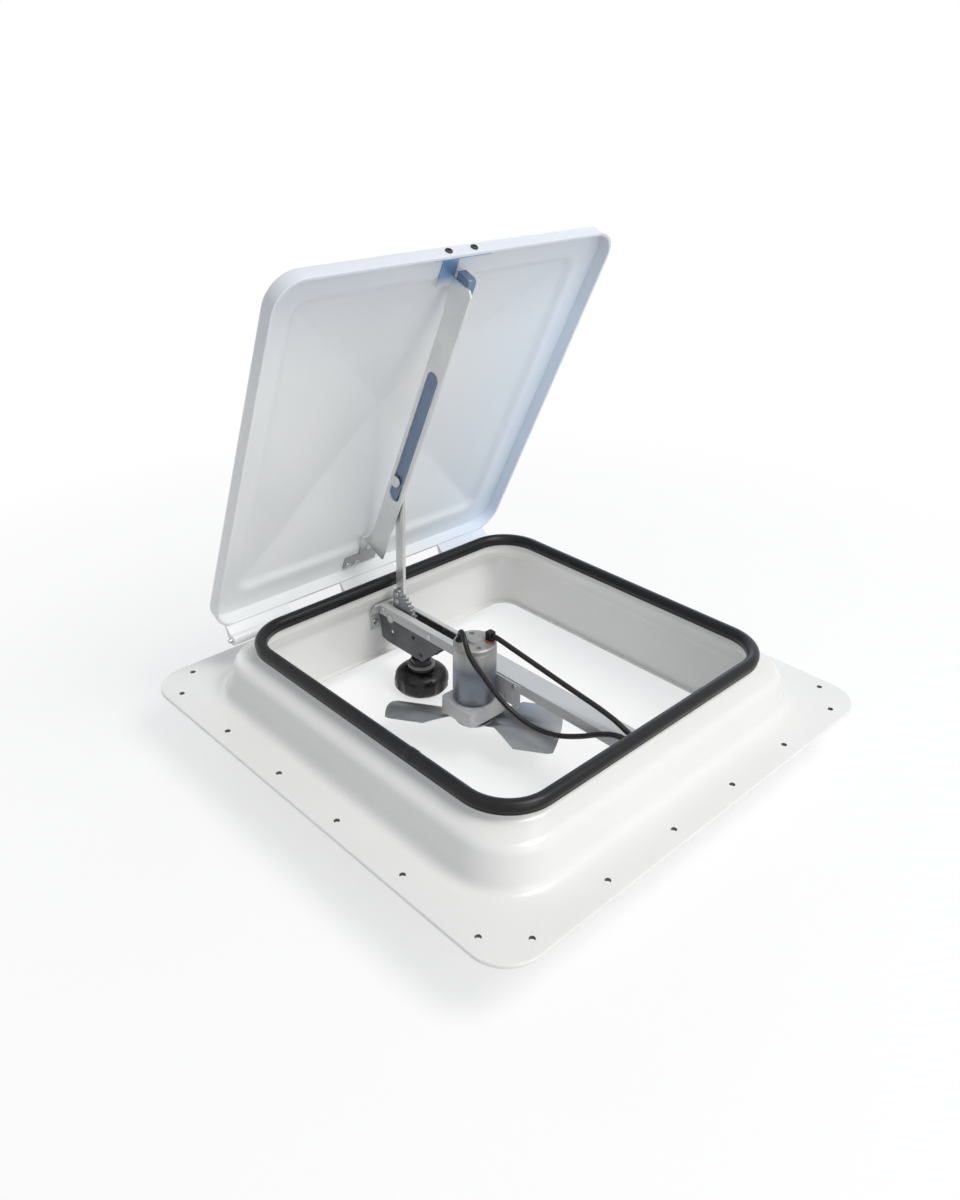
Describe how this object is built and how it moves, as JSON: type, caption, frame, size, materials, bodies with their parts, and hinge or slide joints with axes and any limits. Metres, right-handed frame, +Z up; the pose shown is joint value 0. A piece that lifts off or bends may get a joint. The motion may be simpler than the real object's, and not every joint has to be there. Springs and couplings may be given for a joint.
{
  "type": "caravan roof vent",
  "caption": "Powered caravan roof vent: screw-down moulded base with rubber rim seal, hinged pyramid lid lifted by a knob-driven worm and arm, and a motor with a small fan across the throat.",
  "frame": {"origin": "middle of the vent on the underside of the screw flange, the face that lies on the roof", "axes": "+Z up out of the roof, +Y toward the hinge side of the lid, +X to the right when looking along +Y"},
  "size_m": [0.457, 0.457, 0.4266],
  "materials": {
    "white_abs": "glossy moulded",
    "white_lid_abs": "satin moulded",
    "seal_rubber": "satin",
    "zinc_steel": "zinc plated",
    "rail_steel": "zinc plated",
    "dark_steel": "blackened",
    "gear_steel": "milled",
    "bracket_steel": "dull grey",
    "painted_channel": "painted",
    "black_nylon": "moulded",
    "pale_nylon": "moulded",
    "worm_brass": "machined",
    "black_knob": "glossy moulded",
    "motor_steel": "drawn",
    "cap_steel": "satin",
    "ferrite": "sintered",
    "bearing_bronze": "sintered",
    "armature_copper": "wound",
    "fan_aluminium": "pressed",
    "black_rubber": "moulded",
    "lead_pvc": "smooth"
  },
  "bodies": {
    "base": {"base_frame": "white_abs", "rim_seal": "seal_rubber", "hinge_tabs": "zinc_steel", "hinge_tab_screws": "zinc_steel", "hinge_pin": "zinc_steel", "arm_pivot_pin": "zinc_steel", "cross_channel": "painted_channel", "channel_screws": "zinc_steel", "gear_bracket": "bracket_steel", "bracket_rivets": "zinc_steel", "knob_bush": "pale_nylon", "motor_bracket": "painted_channel", "motor_bracket_rivets": "zinc_steel", "motor_can": "motor_steel", "motor_cap": "cap_steel", "motor_magnets": "ferrite", "motor_bearings": "bearing_bronze", "motor_grommets": "black_rubber", "lead_near": "lead_pvc", "lead_far": "lead_pvc", "lead_gland": "black_rubber"},
    "lid": {"lid": "white_lid_abs", "lid_rail": "rail_steel", "rail_front_screws": "dark_steel", "rail_foot_rivets": "dark_steel"},
    "arm": {"lift_arm": "zinc_steel", "sector_gear": "gear_steel", "arm_rivets": "zinc_steel", "slide_pin": "rail_steel", "slide_bush": "black_nylon"},
    "knob": {"worm": "worm_brass", "knob_shaft": "zinc_steel", "knob": "black_knob", "knob_collar": "pale_nylon", "knob_screw": "zinc_steel"},
    "fan": {"armature": "armature_copper", "commutator": "armature_copper", "motor_shaft": "zinc_steel", "fan_hub": "fan_aluminium", "fan_blades": "fan_aluminium", "fan_nut": "zinc_steel"}
  },
  "joints": [
    {"name": "lid_hinge", "type": "hinge", "parent": "base", "child": "lid", "pos_m": [0, 0.19, 0.036], "axis": [1, 0, 0], "range_deg": [0, 65.5]},
    {"name": "arm_pivot", "type": "hinge", "parent": "base", "child": "arm", "pos_m": [0, 0.149, 0.018], "axis": [1, 0, 0], "range_deg": [0, 76.7]},
    {"name": "knob_turn", "type": "hinge", "parent": "base", "child": "knob", "pos_m": [0, 0.1154, 0], "axis": [0, 0, 1], "range_deg": [0, 2762]},
    {"name": "fan_spin", "type": "hinge", "parent": "base", "child": "fan", "pos_m": [-0.0325, 0.006, 0], "axis": [0, 0, 1], "continuous": true}
  ],
  "couplings": [
    {"joint": "arm_pivot", "follows": "lid_hinge", "ratio": 1.1709},
    {"joint": "knob_turn", "follows": "lid_hinge", "ratio": 42.152}
  ]
}
